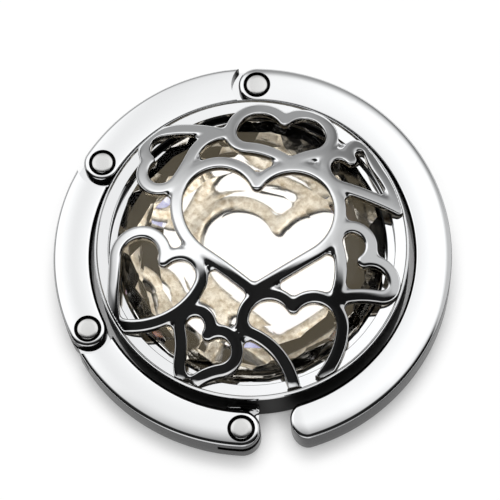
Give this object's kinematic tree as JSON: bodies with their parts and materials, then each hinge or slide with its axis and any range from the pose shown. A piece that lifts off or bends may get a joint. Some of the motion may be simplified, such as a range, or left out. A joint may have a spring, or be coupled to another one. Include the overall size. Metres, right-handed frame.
{
  "type": "folding purse hook",
  "caption": "Round folding purse hook: a domed heart-lattice disc over a faceted crystal, with a hinged ring of links that swings open into a table hook.",
  "frame": {"origin": "centre of the rubber foot's underside, which rests on the table", "axes": "+Z out of the jewelled face, -Y towards the neck where the ring joins the disc (turned 3 degrees towards -X), folded shut at rest"},
  "size_m": [0.048, 0.048, 0.0121],
  "materials": {
    "chrome_plate": "polished chrome plate over die-cast zinc",
    "rivet_steel": "polished nickel-plated steel",
    "clear_crystal": "clear cut glass with flat polished facets",
    "mirror_foil": "silver mirror foil",
    "black_rubber": "matt black non-slip rubber",
    "nickel_magnet": "nickel-plated disc magnet"
  },
  "bodies": {
    "disc": {"base_cup": "chrome_plate", "heart_cover": "chrome_plate", "crystal": "clear_crystal", "foil_backing": "mirror_foil", "rubber_foot": "black_rubber", "cup_magnet": "nickel_magnet"},
    "swivel": {"swivel_lug": "chrome_plate", "swivel_washer": "rivet_steel"},
    "first_link": {"link_1": "chrome_plate", "rivet_1": "rivet_steel"},
    "second_link": {"link_2": "chrome_plate", "rivet_2": "rivet_steel"},
    "third_link": {"link_3": "chrome_plate", "rivet_3": "rivet_steel"},
    "arm": {"hook_arm": "chrome_plate", "rivet_4": "rivet_steel", "arm_magnet": "nickel_magnet"}
  },
  "joints": [
    {"name": "neck_swivel", "type": "hinge", "parent": "disc", "child": "swivel", "pos_m": [0, 0, 0.00345], "axis": [-0.0541, -0.9985, 0], "range_deg": [-90, 90]},
    {"name": "first_hinge", "type": "hinge", "parent": "swivel", "child": "first_link", "pos_m": [-0.00118, -0.02172, 0.00345], "axis": [0, 0, 1], "range_deg": [0, 38]},
    {"name": "second_hinge", "type": "hinge", "parent": "first_link", "child": "second_link", "pos_m": [-0.01963, -0.00936, 0.00345], "axis": [0, 0, 1], "range_deg": [0, 38]},
    {"name": "third_hinge", "type": "hinge", "parent": "second_link", "child": "third_link", "pos_m": [-0.01832, 0.01172, 0.00345], "axis": [0, 0, 1], "range_deg": [0, 38]},
    {"name": "arm_hinge", "type": "hinge", "parent": "third_link", "child": "arm", "pos_m": [0.00046, 0.02175, 0.00345], "axis": [0, 0, 1], "range_deg": [0, 90]}
  ],
  "couplings": [
    {"joint": "third_hinge", "follows": "arm_hinge", "ratio": 0.25},
    {"joint": "second_hinge", "follows": "arm_hinge", "ratio": 0.15},
    {"joint": "first_hinge", "follows": "arm_hinge", "ratio": 0.4}
  ]
}
